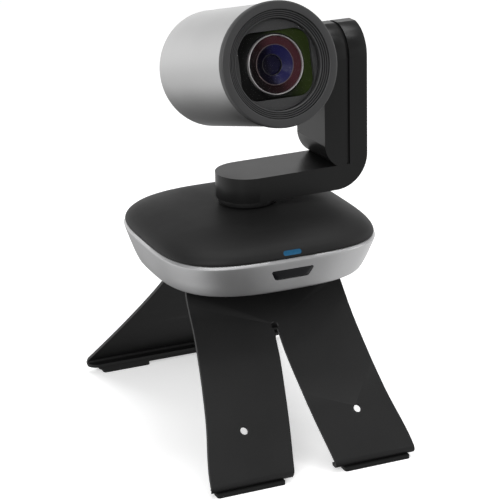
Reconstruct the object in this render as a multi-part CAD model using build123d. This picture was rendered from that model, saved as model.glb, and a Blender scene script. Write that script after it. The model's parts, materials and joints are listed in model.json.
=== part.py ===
from build123d import *
from math import sin, cos, tan, pi, radians, copysign, acos, sqrt, atan2
import os

os.makedirs("parts", exist_ok=True)

# ---------------------------------------------------------------- dimensions
# Working frame: origin on the pan axis at the underside of the silver base
# body, +Z up, the lens looks towards -Y, +X is the side with the tilt arm.
# Everything is moved to the table frame (SHIFT_*) when it is written.
STAND_H = 100.0            # table to the underside of the base body

# base body and cover (rounded-square plans given as superellipses)
BODY_SECT = [(57.6, 2.94, 0.0), (59.3, 3.00, 1.5), (62.0, 3.28, 10.0),
             (63.9, 3.52, 17.2), (64.1, 3.58, 18.9), (63.2, 3.56, 20.1)]
COVER_SECT = [(63.0, 3.56, 20.45), (63.4, 3.56, 21.0), (62.7, 3.54, 23.0), (61.3, 3.50, 25.0),
              (57.7, 3.40, 27.7), (51.3, 3.30, 30.6), (44.9, 3.15, 32.3),
              (38.5, 3.00, 33.1), (30.0, 2.70, 33.6), (21.0, 2.30, 33.9)]
WALL = 2.2

# pan hub and arm
ARM_HW = 17.75             # half the arm's width
ARM_Z0, ARM_Z1 = 37.97, 52.24
ARM_XO = 67.56             # outer face of the upright
ARM_XG0, ARM_XG1 = 54.5, 56.5   # groove between housing and outer shell
ARM_XI = 40.77             # inner face of the tilt housing
ARM_TOP_Z = 113.6          # centre of the upright's round top
TILT_Z = 112.17
HUB_R = 11.0
COLLAR_R = 16.6

# head
HEAD_R = 33.1
RING_R = 33.87
HEAD_FRONT, HEAD_REAR = -48.8, 48.1
HEAD_TILT = 13.82          # lens above the horizon at rest
PAN_REST = 1.886           # arm and head stand turned this far at rest, lens towards +X

# gears
PAN_M, PAN_ZG, PAN_ZP = 0.8, 57, 18
TILT_M, TILT_ZG, TILT_ZP = 0.6, 44, 16
PAN_C = PAN_M * (PAN_ZG + PAN_ZP) / 2
TILT_C = TILT_M * (TILT_ZG + TILT_ZP) / 2
PAN_MOTOR_ANG = 225.0      # direction of the pan motor from the pan axis

# stand
SHEET_T = 2.0
PLATE_TOP = -2.0           # the bracket's top plate meets the base boss here
TRIPOD_Y = -4.0
FRONT_SLOPE = 0.805        # outward run per unit of drop
REAR_SLOPE = 1.137
FRONT_HW = [(-2.0, 45.0), (-10, 46.3), (-20, 47.1), (-30, 47.9), (-40, 49.3), (-50, 50.9),
            (-60, 52.8), (-70, 55.1), (-80, 58.1), (-88, 60.2), (-100, 61.2)]
SLOT_HW = [(-28.7, 0.75), (-30, 1.0), (-40, 1.9), (-50, 3.3), (-60, 5.1), (-70, 7.0),
           (-80, 9.2), (-90, 11.6), (-102, 13.8)]
REAR_FOOT_HW = 66.6
HOLE_R = 2.25

# ------------------------------------------------------------------- helpers
def se_pts(a, n, count=56):
    out = []
    for i in range(count):
        t = 2 * pi * i / count
        r = a / (abs(cos(t)) ** n + abs(sin(t)) ** n) ** (1 / n)
        out.append((r * cos(t), r * sin(t)))
    return out


def se_face(a, n, z):
    pts = [Vector(x, y, z) for x, y in se_pts(a, n)]
    return Face(Wire([Edge.make_spline(pts, periodic=True)]))


def se_loft(sects):
    faces = [se_face(*s) for s in sects]
    return Solid.make_loft([f.outer_wire() for f in faces], ruled=True)


def cyl(r, z0, z1, x=0.0, y=0.0):
    return Pos(x, y, z0) * extrude(Circle(r), z1 - z0)


def cyl_x(r, x0, x1, y=0.0, z=0.0):
    return extrude(Plane(origin=(x0, y, z), z_dir=(1, 0, 0)) * Circle(r), x1 - x0)


def cyl_y(r, y0, y1, x=0.0, z=0.0):
    return extrude(Plane(origin=(x, y0, z), z_dir=(0, 1, 0)) * Circle(r), y1 - y0)


def box(x0, x1, y0, y1, z0, z1):
    return Pos((x0 + x1) / 2, (y0 + y1) / 2, (z0 + z1) / 2) * Box(x1 - x0, y1 - y0, z1 - z0)


def rounded_wire(pts, radii, to3d):
    """Closed outline through pts with an arc of the given radius at each corner."""
    n = len(pts)
    edges, ends = [], []
    for i in range(n):
        p0, p1, p2 = pts[i - 1], pts[i], pts[(i + 1) % n]
        r = radii[i]
        if r <= 0:
            ends.append((p1, None, p1))
            continue
        ax, ay = p0[0] - p1[0], p0[1] - p1[1]
        bx, by = p2[0] - p1[0], p2[1] - p1[1]
        la, lb = sqrt(ax * ax + ay * ay), sqrt(bx * bx + by * by)
        ax, ay, bx, by = ax / la, ay / la, bx / lb, by / lb
        half = acos(max(-1, min(1, ax * bx + ay * by))) / 2
        d = r / tan(half)
        s = (p1[0] + ax * d, p1[1] + ay * d)
        e = (p1[0] + bx * d, p1[1] + by * d)
        mx, my = ax + bx, ay + by
        lm = sqrt(mx * mx + my * my)
        k = r / sin(half) - r
        ends.append((s, (p1[0] + mx / lm * k, p1[1] + my / lm * k), e))
    for i in range(n):
        s, m, e = ends[i]
        if m is not None:
            edges.append(Edge.make_three_point_arc(to3d(*s), to3d(*m), to3d(*e)))
        nxt = ends[(i + 1) % n][0]
        if (e[0] - nxt[0]) ** 2 + (e[1] - nxt[1]) ** 2 > 1e-10:
            edges.append(Edge.make_line(to3d(*e), to3d(*nxt)))
    return Wire(edges)


def prism_y(pts, radii, y0, y1):
    """Outline in XZ extruded along Y."""
    w = rounded_wire(pts, radii, lambda x, z: Vector(x, y0, z))
    return Solid.extrude(Face(w), Vector(0, y1 - y0, 0))


def prism_x(pts, radii, x0, x1):
    """Outline in YZ extruded along X."""
    w = rounded_wire(pts, radii, lambda y, z: Vector(x0, y, z))
    return Solid.extrude(Face(w), Vector(x1 - x0, 0, 0))


def prism_z(pts, radii, z0, z1):
    w = rounded_wire(pts, radii, lambda x, y: Vector(x, y, z0))
    return Solid.extrude(Face(w), Vector(0, 0, z1 - z0))


def rect(x0, x1, y0, y1):
    return [(x0, y0), (x1, y0), (x1, y1), (x0, y1)]


def upright_prism(hw, x0, x1, z_low):
    """Upright's outline in YZ: parallel sides with a round top."""
    zc = ARM_TOP_Z
    e = [Edge.make_line(Vector(x0, -hw, z_low), Vector(x0, hw, z_low)),
         Edge.make_line(Vector(x0, hw, z_low), Vector(x0, hw, zc)),
         Edge.make_three_point_arc(Vector(x0, hw, zc), Vector(x0, 0, zc + hw), Vector(x0, -hw, zc)),
         Edge.make_line(Vector(x0, -hw, zc), Vector(x0, -hw, z_low))]
    return Solid.extrude(Face(Wire(e)), Vector(x1 - x0, 0, 0))


def arm_plan(hw, x1, z0, z1):
    """Plan outline: round end on the pan axis, parallel sides out to x1."""
    e = [Edge.make_line(Vector(0, -hw, z0), Vector(x1, -hw, z0)),
         Edge.make_line(Vector(x1, -hw, z0), Vector(x1, hw, z0)),
         Edge.make_line(Vector(x1, hw, z0), Vector(0, hw, z0)),
         Edge.make_three_point_arc(Vector(0, hw, z0), Vector(-hw, 0, z0), Vector(0, -hw, z0))]
    return Solid.extrude(Face(Wire(e)), Vector(0, 0, z1 - z0))


def gear_face(m, z, thin=0.06, add=0.92, ded=1.2, turn=0.0):
    """Involute spur gear outline, 20 degree pressure angle, one tooth on +X turned by `turn` degrees."""
    rp = m * z / 2
    rb = rp * cos(radians(20))
    ra = rp + add * m
    rf = rp - ded * m
    inv = lambda a: tan(a) - a
    half = pi / (2 * z) - thin / rp + inv(radians(20))
    pts = []
    for k in range(z):
        c = 2 * pi * k / z + radians(turn)
        rs = max(rb, rf + 0.02)
        radii = [rs + (ra - rs) * j / 4 for j in range(5)]
        flank = []
        for r in radii:
            a = acos(min(1, rb / r))
            flank.append((r, half - inv(a)))
        pts.append((rf, c - half))
        pts += [(r, c - h) for r, h in flank]
        pts += [(r, c + h) for r, h in reversed(flank)]
        pts.append((rf, c + half))
    xy = [(r * cos(t), r * sin(t)) for r, t in pts]
    clean = [xy[0]]
    for p in xy[1:]:
        if (p[0] - clean[-1][0]) ** 2 + (p[1] - clean[-1][1]) ** 2 > 1e-6:
            clean.append(p)
    return clean


def gear(m, z, bore, h, turn=0.0, **kw):
    pts = gear_face(m, z, turn=turn, **kw)
    w = Wire.make_polygon([Vector(x, y, 0) for x, y in pts], close=True)
    g = Solid.extrude(Face(w), Vector(0, 0, h))
    if bore:
        g = g - extrude(Circle(bore), h)
    return g


def lens_solid(r, y_edge, t_edge, sag_f, sag_b):
    """Lens on the local Y axis: edge from y_edge to y_edge+t_edge, domed by sag_f forward and sag_b back."""
    def cap(y, sag):
        return [(r, y), (0, y + sag)]
    z = 0.0
    e = []
    a = Vector(0, y_edge - sag_f, 0)
    b = Vector(r, y_edge, 0)
    c = Vector(r, y_edge + t_edge, 0)
    d = Vector(0, y_edge + t_edge + sag_b, 0)
    rad = (r * r + sag_f * sag_f) / (2 * sag_f)
    cy = y_edge - sag_f + rad
    th = atan2(r, cy - y_edge) / 2
    m1 = Vector(rad * sin(th), cy - rad * cos(th), 0)
    e.append(Edge.make_three_point_arc(a, m1, b))
    e.append(Edge.make_line(b, c))
    if abs(sag_b) > 1e-6:
        s = abs(sag_b)
        rad = (r * r + s * s) / (2 * s)
        th = atan2(r, rad - s) / 2
        if sag_b > 0:
            m2 = Vector(rad * sin(th), y_edge + t_edge + s - rad + rad * cos(th), 0)
        else:
            m2 = Vector(rad * sin(th), y_edge + t_edge - s + rad - rad * cos(th), 0)
        e.append(Edge.make_three_point_arc(c, m2, d))
    else:
        e.append(Edge.make_line(c, d))
    e.append(Edge.make_line(d, a))
    f = Face(Wire(e))
    return revolve(f, Axis((0, 0, 0), (0, 1, 0)), 360)


def turned(profile):
    """Revolve an (r, y) outline about the local Y axis."""
    w = Wire.make_polygon([Vector(r, y, 0) for r, y in profile], close=True)
    return revolve(Face(w), Axis((0, 0, 0), (0, 1, 0)), 360)


def tube_y(ro, ri, y0, y1):
    return turned([(ri, y0), (ro, y0), (ro, y1), (ri, y1)])


def screw_z(x, y, z_head, head_r, head_h, shank_r, length, up=True):
    """Pan-head screw: the shank runs up from the head (or down if up is False)."""
    s = 1 if up else -1
    zs = (z_head - head_h, z_head) if up else (z_head, z_head + head_h)
    h = cyl(head_r, zs[0], zs[1], x, y)
    sh = cyl(shank_r, z_head, z_head + length, x, y) if up else cyl(shank_r, z_head - length, z_head, x, y)
    if up:
        rec = box(x - head_r * .6, x + head_r * .6, y - .25, y + .25, zs[0] - .1, zs[0] + head_h * .5) + \
              box(x - .25, x + .25, y - head_r * .6, y + head_r * .6, zs[0] - .1, zs[0] + head_h * .5)
    else:
        rec = box(x - head_r * .6, x + head_r * .6, y - .25, y + .25, zs[1] - head_h * .5, zs[1] + .1) + \
              box(x - .25, x + .25, y - head_r * .6, y + head_r * .6, zs[1] - head_h * .5, zs[1] + .1)
    return h + sh - rec


nodes = {}

# ----------------------------------------------------------------- base body
def inset(sects, d, dz=0.0):
    return [(a - d, n, z + dz) for a, n, z in sects]


CS = 40.0                  # corner screws
body = se_loft(BODY_SECT)
cav = [(a - WALL, n, z) for a, n, z in BODY_SECT]
cav[0] = (cav[0][0], cav[0][1], -0.5)
cav[-2] = (61.8, 3.56, 18.9)
cav[-1] = (61.5, 3.56, 20.1)
cav.append((61.5, 3.56, 21.0))
body = body - se_loft(cav)
for sx in (-1, 1):
    for sy in (-1, 1):
        lug = cyl(4.0, 2.8, 14.0, sx * CS, sy * CS)
        lug = lug + Pos(sx * (CS + 6.5), sy * (CS + 6.5), 8.4) * Rot(0, 0, sx * sy * 45) * Box(20.0, 4.0, 11.2)
        body = body + (lug & se_loft(inset(BODY_SECT, 0.8)))
        body = body - cyl(1.3, 2.0, 12.0, sx * CS, sy * CS)
# window in the front wall
IR_PTS = [(-12.95, 14.1), (12.95, 14.1), (9.9, 8.0), (-9.9, 8.0)]
body = body - prism_y(IR_PTS, [1.0, 1.0, 2.4, 2.4], -70, -50)
# recess for the connectors in the rear wall
PORT_X0, PORT_X1, PORT_Z0, PORT_Z1 = -27.0, 27.0, 4.4, 17.2
body = body - prism_y([(PORT_X0, PORT_Z0), (PORT_X1, PORT_Z0), (PORT_X1, PORT_Z1), (PORT_X0, PORT_Z1)],
                      [2, 2, 2, 2], 50, 70)
nodes["base_lower_body"] = body

# port panel behind the rear recess, with its openings
port = prism_y([(PORT_X0 - 1.5, PORT_Z0 - 1.2), (PORT_X1 + 1.5, PORT_Z0 - 1.2),
                (PORT_X1 + 1.5, PORT_Z1 + 0.6), (PORT_X0 - 1.5, PORT_Z1 + 0.6)], [2, 2, 2, 2], 55.6, 57.4)
USB_X, JACK_X, LOCK_X = -11.0, 9.0, 21.0
port = port - prism_y(rect(USB_X - 4.5, USB_X + 4.5, 7.1, 15.2), [0.5] * 4, 50, 60)
port = port - cyl_y(3.6, 50, 60, JACK_X, 11.0)
port = port - prism_y(rect(LOCK_X - 1.5, LOCK_X + 1.5, 7.5, 14.5), [0.8] * 4, 50, 60)
port = port & se_loft([(a - WALL - 0.15, n, z) for a, n, z in BODY_SECT])
nodes["port_panel"] = port

# window and the infrared receiver behind it
ir = prism_y([(-12.75, 13.9), (12.75, 13.9), (9.75, 8.2), (-9.75, 8.2)], [0.9, 0.9, 2.3, 2.3], -70, -55)
ir = ir & (se_loft(inset(BODY_SECT, 0.25)) - se_loft(inset(BODY_SECT, 1.9)))
nodes["ir_window"] = ir
nodes["ir_receiver"] = box(-4.0, 4.0, -57.6, -53.6, 6.9, 13.6) + cyl_y(2.4, -59.3, -57.6, 0, 10.6)

# bottom plate with the centre boss that rests on the bracket
plate = se_loft([(55.1, 2.92, 0.2), (55.1, 2.92, 2.4)])
plate = plate + cyl(14.0, PLATE_TOP, 0.3, 0, TRIPOD_Y)
plate = plate - cyl(6.1, -3, 4, 0, TRIPOD_Y)
for sx in (-1, 1):
    for sy in (-1, 1):
        plate = plate - cyl(1.7, -1, 4, sx * CS, sy * CS) - cyl(3.1, -1, 1.4, sx * CS, sy * CS)
for x, y in ((-46, -28), (46, -28), (-46, 20), (46, 20)):
    plate = plate + cyl(2.8, 2.3, 15.9, x, y) - cyl(1.2, 4, 16, x, y)
for x, y in ((-30, 12), (30, 12), (-30, 48), (30, 48)):
    plate = plate + cyl(2.2, 2.3, 4.9, x, y) - cyl(0.9, 2.9, 6, x, y)
nodes["base_bottom_plate"] = plate

insert = cyl(6.0, PLATE_TOP + 0.1, 8.6, 0, TRIPOD_Y) + cyl(8.0, 2.5, 4.2, 0, TRIPOD_Y) - cyl(3.2, -3, 7.5, 0, TRIPOD_Y)
nodes["tripod_insert"] = insert

feet = None
for x, y in ((-44, -27), (44, -27), (-44, 27), (44, 27)):
    f = cyl(6.0, -2.0, 0.1, x, y)
    feet = f if feet is None else feet + f
nodes["base_feet"] = feet

scr = None
for sx in (-1, 1):
    for sy in (-1, 1):
        s = screw_z(sx * CS, sy * CS, 1.35, 2.8, 1.3, 1.2, 9.0)
        scr = s if scr is None else scr + s
nodes["base_screws"] = scr

# top cover
cover = se_loft(COVER_SECT)
inner = [(a - 2.2, n, z - (2.0 if i > 3 else (0.0 if i == 0 else 0.4 * i)))
         for i, (a, n, z) in enumerate(COVER_SECT)]
inner = [(60.8, 3.5, 20.0), (60.8, 3.5, 21.2), (60.0, 3.5, 23.0), (58.4, 3.45, 24.4), (54.8, 3.35, 26.4),
         (49.0, 3.2, 28.9), (43.0, 3.05, 30.3), (37.0, 2.9, 31.1), (29.0, 2.6, 31.6), (18.0, 2.2, 31.9)]
cover = cover - se_loft(inner)
lip = se_loft([(61.1, 3.5, 17.6), (61.1, 3.5, 21.1)]) - se_loft([(59.2, 3.5, 17.0), (59.2, 3.5, 22.0)])
cover = cover + lip
cover = cover - cyl(12.4, 28, 40)
# light pipe slot in the steep front edge
LED_HW, LED_ZC = 5.4, 23.1
cover = cover - prism_y(rect(-LED_HW, LED_HW, LED_ZC - 1.35, LED_ZC + 1.35), [1.3] * 4, -66, -56)
nodes["base_top_cover"] = cover
pipe = prism_y(rect(-LED_HW + 0.12, LED_HW - 0.12, LED_ZC - 1.22, LED_ZC + 1.22), [1.2] * 4, -66, -55.5)
pipe = pipe & se_loft([(a - 0.1, n, z) for a, n, z in COVER_SECT])
nodes["led_light_pipe"] = pipe
nodes["front_board"] = box(-12, 12, -53.4, -52.0, 5.5, 24.6) + box(-4.5, 4.5, -55.2, -53.4, 22.2, 24.0)

# chassis plate with the bearing seat
ch = prism_z(rect(-50, 50, -34, 26), [6] * 4, 16.0, 18.0)
ch = ch + cyl(18.0, 13.0, 18.0) - cyl(15.05, 12, 19)
ma = radians(PAN_MOTOR_ANG)
PMX, PMY = PAN_C * cos(ma), PAN_C * sin(ma)
ch = ch - cyl(3.2, 15, 19, PMX, PMY)
for x, y in ((-46, -28), (46, -28), (-46, 20), (46, 20)):
    ch = ch - cyl(1.6, 15, 19, x, y)
nodes["base_chassis"] = ch
scr = None
for x, y in ((-46, -28), (46, -28), (-46, 20), (46, 20)):
    s = screw_z(x, y, 18.05, 2.6, 1.4, 1.1, 8.0, up=False)
    scr = s if scr is None else scr + s
inner_screws = scr
nodes["pan_bearing"] = cyl(15.0, 13.2, 17.9) - cyl(HUB_R + 0.04, 13, 19)

motor = cyl(10.0, 4.2, 15.9, PMX, PMY) + box(PMX - 4, PMX + 4, PMY - 12.5, PMY - 8, 6, 12)
motor = motor - cyl(1.55, 9.0, 16.5, PMX, PMY)
nodes["pan_motor"] = motor

# pan pinion with its shaft
PG_Z0, PG_Z1 = 22.0, 26.0
pin = gear(PAN_M, PAN_ZP, 0, PG_Z1 - PG_Z0, turn=PAN_MOTOR_ANG + 180 + 180.0 / PAN_ZP)
pin = Pos(PMX, PMY, PG_Z0) * pin
pin = pin + cyl(1.5, 10.0, PG_Z1 + 0.6, PMX, PMY)
nodes["pan_pinion"] = pin

# main board with its components
board = prism_z(rect(-34, 34, 8, 52), [1.5] * 4, 5.0, 6.6)
for x, y in ((-30, 12), (30, 12), (-30, 48), (30, 48)):
    board = board - cyl(1.2, 4, 8, x, y)
nodes["main_board"] = board
chips = box(-8, 6, 18, 32, 6.6, 8.0) + box(14, 22, 20, 28, 6.6, 7.6) + box(-27, -18, 17, 23, 6.6, 8.6) \
    + box(23, 30, 34, 41, 6.6, 9.4) + cyl(3.1, 6.6, 12.4, -27.5, 36) + cyl(3.1, 6.6, 12.4, -20.5, 36)
nodes["board_components"] = chips
scr = None
for x, y in ((-30, 12), (30, 12), (-30, 48), (30, 48)):
    s = screw_z(x, y, 6.65, 2.0, 1.1, 0.85, 3.4, up=False)
    scr = s if scr is None else scr + s
nodes["base_inner_screws"] = inner_screws + scr

# connectors, mouths to the rear
USB_W, USB_H = 8.45, 7.78
us = box(USB_X - 6, USB_X + 6, 40.5, 55.4, 6.65, 16.6)
us = us - box(USB_X - USB_W / 2, USB_X + USB_W / 2, 45.5, 56, 11.15 - USB_H / 2, 11.15 + USB_H / 2)
us = us + box(USB_X - 2.8, USB_X + 2.8, 45.0, 53.4, 11.15 - 1.6, 11.15 + 1.6)
nodes["usb_socket"] = us
jk = box(JACK_X - 4.6, JACK_X + 4.6, 41.0, 55.4, 6.65, 16.0) - cyl_y(3.15, 45.0, 56, JACK_X, 11.0) \
    + cyl_y(1.0, 44.9, 54.4, JACK_X, 11.0)
nodes["power_jack"] = jk

# ---------------------------------------------------------------- arm (pans)
hub = turned([(4.0, 9.6), (HUB_R, 9.6), (HUB_R, 34.5), (COLLAR_R - 0.6, 34.5), (COLLAR_R, 35.1),
              (COLLAR_R, 37.9), (9.0, 37.9), (9.0, 40.3), (4.0, 40.3)])
hub = Rot(90, 0, 0) * hub
nodes["pan_hub"] = hub
nodes["pan_hub_clip"] = cyl(13.6, 11.4, 12.6) - cyl(HUB_R + 0.02, 11, 13)

pg = gear(PAN_M, PAN_ZG, HUB_R + 0.02, PG_Z1 - PG_Z0, turn=PAN_MOTOR_ANG)
for k in range(6):
    pg = pg - cyl(2.6, -1, 6, 16.6 * cos(k * pi / 3 + .3), 16.6 * sin(k * pi / 3 + .3))
nodes["pan_gear"] = Pos(0, 0, PG_Z0) * pg

L_OUT = [(-ARM_HW, ARM_Z0), (ARM_XO, ARM_Z0), (ARM_XO, 131.0), (ARM_XG1, 131.0),
         (ARM_XG1, ARM_Z1), (-ARM_HW, ARM_Z1)]
shell = prism_y(L_OUT, [0, 19.5, 0, 0, 0, 0], -ARM_HW, ARM_HW)
shell = shell & arm_plan(ARM_HW, 70, 30, 140) & upright_prism(ARM_HW, -20, 70, 30)
w = 2.2
L_IN = [(-ARM_HW + w, ARM_Z0 + w), (ARM_XO - w, ARM_Z0 + w), (ARM_XO - w, 129.0), (ARM_XG1 - 0.2, 129.0),
        (ARM_XG1 - 0.2, ARM_Z1 - w), (-ARM_HW + w, ARM_Z1 - w)]
cavity = prism_y(L_IN, [0, 19.5 - w, 0, 0, 0, 0], -ARM_HW + w, ARM_HW - w)
cavity = cavity & arm_plan(ARM_HW - w, 70, 30, 140) & upright_prism(ARM_HW - w, -20, 70, 30)
shell = shell - cavity
BC_X1 = 45.0
shell = shell - arm_plan(ARM_HW - 1.6, BC_X1, ARM_Z0 - 1, ARM_Z0 + w + 0.5)
# cable way up into the tilt housing
shell = shell - cyl(3.0, 48.0, 53.0, 51.6, 0)
for x, y in ((16.0, -11.5), (16.0, 11.5), (38.0, -11.5), (38.0, 11.5)):
    shell = shell + (cyl(2.4, 40.9, ARM_Z1 - 1.0, x, y) - cyl(0.95, 40, 48.5, x, y))
nodes["arm_outer_shell"] = shell

bc = arm_plan(ARM_HW - 1.8, BC_X1 - 0.2, ARM_Z0 + 0.15, ARM_Z0 + 2.35)
bc = bc - cyl(9.1, 30, 45)
for x, y in ((16.0, -11.5), (16.0, 11.5), (38.0, -11.5), (38.0, 11.5)):
    bc = bc - cyl(1.3, 30, 45, x, y) - cyl(2.3, 30, ARM_Z0 + 1.35, x, y)
nodes["arm_bottom_cover"] = bc
scr = None
for x, y in ((16.0, -11.5), (16.0, 11.5), (38.0, -11.5), (38.0, 11.5)):
    s = screw_z(x, y, ARM_Z0 + 1.3, 2.1, 1.05, 0.9, 8.0)
    scr = s if scr is None else scr + s
arm_screws = scr

H_OUT = [(48.3, ARM_Z1 + 0.02), (ARM_XG0, ARM_Z1 + 0.02), (ARM_XG0, 131.0), (ARM_XI, 131.0), (ARM_XI, 64.5)]
def housing_prism(pts, y0, y1, r_low):
    (ax, az), (bx, bz), (cx, cz), (dx, dz), (ex, ez) = pts
    m = (ax - (ax - ex) * 0.66, az + (ez - az) * 0.40)
    e = [Edge.make_line(Vector(ax, y0, az), Vector(bx, y0, bz)),
         Edge.make_line(Vector(bx, y0, bz), Vector(cx, y0, cz)),
         Edge.make_line(Vector(cx, y0, cz), Vector(dx, y0, dz)),
         Edge.make_line(Vector(dx, y0, dz), Vector(ex, y0, ez)),
         Edge.make_three_point_arc(Vector(ex, y0, ez), Vector(m[0], y0, m[1]), Vector(ax, y0, az))]
    return Solid.extrude(Face(Wire(e)), Vector(0, y1 - y0, 0))


house = housing_prism(H_OUT, -ARM_HW, ARM_HW, 0) & upright_prism(ARM_HW, 30, 70, 30)
H_IN = [(50.2, ARM_Z1 + 2.2), (ARM_XG1, ARM_Z1 + 2.2), (ARM_XG1, 129.0), (ARM_XI + w, 129.0), (ARM_XI + w, 65.2)]
# recessed lip that closes the groove
lip = box(ARM_XG0 - 1.0, ARM_XG1 - 0.1, -ARM_HW, ARM_HW, ARM_Z1 + 0.02, 131.0) & upright_prism(ARM_HW - 1.2, 30, 70, 30)
house = house + lip
house = house - (housing_prism(H_IN, -ARM_HW + w, ARM_HW - w, 0) & upright_prism(ARM_HW - 2.9, 30, 70, 30))
house = house - cyl_x(5.2, 38, 46, 0, TILT_Z)
house = house + (cyl_x(11.0, ARM_XI + 1.2, 47.0, 0, TILT_Z) - cyl_x(9.05, ARM_XI + 2.2, 48, 0, TILT_Z)
                 - cyl_x(5.2, 38, 48, 0, TILT_Z))
house = house - cyl(3.0, 50.0, 56.0, 51.6, 0)
for y, z in ((-10.0, 74.0), (10.0, 74.0)):
    house = house + (cyl_x(2.3, ARM_XI + 1.2, 52.9, y, z) - cyl_x(0.95, 44.5, 53.5, y, z))
nodes["arm_inner_housing"] = house

nodes["tilt_bearing"] = cyl_x(9.0, ARM_XI + 2.25, 46.9, 0, TILT_Z) - cyl_x(4.04, 40, 50, 0, TILT_Z)

TMZ = TILT_Z - TILT_C
br = prism_x([(-13, 71.0), (13, 71.0), (13, TMZ + 6.5), (-13, TMZ + 6.5)], [3, 3, 3, 3], 53.5, 54.5)
br = br - cyl_x(3.2, 50, 56, 0, TMZ)
for y, z in ((-10.0, 74.0), (10.0, 74.0)):
    br = br - cyl_x(1.3, 50, 56, y, z)
nodes["tilt_motor_bracket"] = br
scr = None
for y, z in ((-10.0, 74.0), (10.0, 74.0)):
    s = cyl_x(2.0, 54.5, 55.7, y, z) + cyl_x(0.9, 46.0, 54.5, y, z) - box(55.2, 56, y - 1.3, y + 1.3, z - .2, z + .2)
    scr = s if scr is None else scr + s
nodes["arm_screws"] = arm_screws + scr
tm = cyl_x(10.0, 54.55, 64.6, 0, TMZ) + box(57, 62, -4, 4, TMZ - 13, TMZ - 8)
tm = tm - cyl_x(1.05, 54, 61.5, 0, TMZ)
nodes["tilt_motor"] = tm

TG_X0, TG_X1 = 49.2, 53.0
def to_x(shape, x, y, z):
    # local Z becomes +X, local X becomes +Z
    return Location(Plane(origin=(x, y, z), x_dir=(0, 0, 1), z_dir=(1, 0, 0))) * shape


tp = gear(TILT_M, TILT_ZP, 0, TG_X1 - TG_X0, turn=180.0 / TILT_ZP, thin=0.05)
tp = to_x(tp, TG_X0, 0, TMZ) + cyl_x(1.0, TG_X0 - 0.4, 60.5, 0, TMZ)
nodes["tilt_pinion"] = tp

# -------------------------------------------------------------- head (tilts)
HEAD = Pos(0, 0, TILT_Z) * Rot(-HEAD_TILT, 0, 0)
head = {}
# silver cup: open at the front, rounded rear edge
e = [Edge.make_line(Vector(30.9, -43.9, 0), Vector(HEAD_R - 0.4, -43.9, 0)),
     Edge.make_line(Vector(HEAD_R - 0.4, -43.9, 0), Vector(HEAD_R, -43.5, 0)),
     Edge.make_line(Vector(HEAD_R, -43.5, 0), Vector(HEAD_R, HEAD_REAR - 5.5, 0)),
     Edge.make_three_point_arc(Vector(HEAD_R, HEAD_REAR - 5.5, 0), Vector(HEAD_R - 1.6, HEAD_REAR - 1.75, 0),
                               Vector(HEAD_R - 5.5, HEAD_REAR - 0.3, 0)),
     Edge.make_line(Vector(HEAD_R - 5.5, HEAD_REAR - 0.3, 0), Vector(0, HEAD_REAR, 0)),
     Edge.make_line(Vector(0, HEAD_REAR, 0), Vector(0, HEAD_REAR - 2.3, 0)),
     Edge.make_line(Vector(0, HEAD_REAR - 2.3, 0), Vector(26.4, HEAD_REAR - 2.8, 0)),
     Edge.make_three_point_arc(Vector(26.4, HEAD_REAR - 2.8, 0), Vector(29.58, HEAD_REAR - 4.12, 0),
                               Vector(30.9, HEAD_REAR - 7.3, 0)),
     Edge.make_line(Vector(30.9, HEAD_REAR - 7.3, 0), Vector(30.9, -43.9, 0))]
cup = revolve(Face(Wire(e)), Axis((0, 0, 0), (0, 1, 0)), 360)
cup = (Rot(0, 127, 0) * cup) - cyl_x(9.0, 25, 40)
head["head_shell"] = cup

# front ring with a stepped cone around the window
R0, R1 = 29.2, 24.5
steps = [(RING_R - 0.9, HEAD_FRONT), (RING_R, HEAD_FRONT + 0.9), (RING_R, -44.9), (RING_R - 0.5, -44.3),
         (HEAD_R - 1.4, -44.3), (HEAD_R - 1.4, -44.0), (30.6, -44.0), (30.6, -38.0), (25.2, -38.0),
         (25.2, -43.4), (24.7, -43.4), (24.7, -46.3)]
cone = []
ns = 5
for i in range(ns):
    f0, f1 = i / ns, (i + 1) / ns
    ra = R1 + (R0 - R1) * f0
    rb = R1 + (R0 - R1) * f1
    y = -46.4 + (HEAD_FRONT + 46.4) * f1
    ya = -46.4 + (HEAD_FRONT + 46.4) * f0
    cone.append((ra, ya))
    cone.append((ra + 0.05, y))
    cone.append((rb, y if i == ns - 1 else y + 0.12))
ring = turned(steps + cone)
head["head_front_ring"] = ring
head["front_window"] = turned([(0, -46.1), (23.9, -46.1), (24.3, -45.7), (24.3, -43.9), (0, -43.9)])

# baffle frame behind the window
bf = cyl_y(24.6, -43.3, -42.1)
bf = bf - prism_y(rect(-19.0, 19.0, -18.2, 18.2), [9.5] * 4, -44, -41)
bf = bf + (prism_y(rect(-20.0, 20.0, -19.2, 19.2), [10.5] * 4, -42.1, -37.5)
           - prism_y(rect(-19.0, 19.0, -18.2, 18.2), [9.5] * 4, -43, -37))
head["lens_baffle"] = bf

# lens housing
lh = turned([(16.3, -40.2), (17.6, -40.2), (17.6, -28.0), (16.0, -26.0), (16.0, 20.0), (12.6, 20.0), (12.6, -28.0),
             (15.7, -28.0), (15.7, -33.6), (16.3, -33.6)])
lh = lh - box(-1.4, 1.4, -26.0, 20.1, -19, -10)
head["lens_housing"] = lh
head["lens_retaining_ring"] = turned([(15.3, -41.4), (16.2, -42.0), (16.9, -41.4), (16.9, -40.3), (15.9, -40.3),
                                      (15.9, -39.6), (15.3, -39.6)])
head["front_lens"] = lens_solid(15.2, -39.4, 3.0, 2.6, -2.2)
head["second_lens_cell"] = turned([(10.4, -33.4), (15.6, -33.4), (15.6, -28.2), (12.2, -28.2), (10.4, -30.8)])
head["second_lens"] = lens_solid(10.3, -33.0, 1.6, 1.5, 0.6)
rods = cyl_y(1.0, -27.6, 19.6, -10.3, 0) + cyl_y(1.0, -27.6, 19.6, 10.3, 0)
head["guide_rods"] = rods
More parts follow.
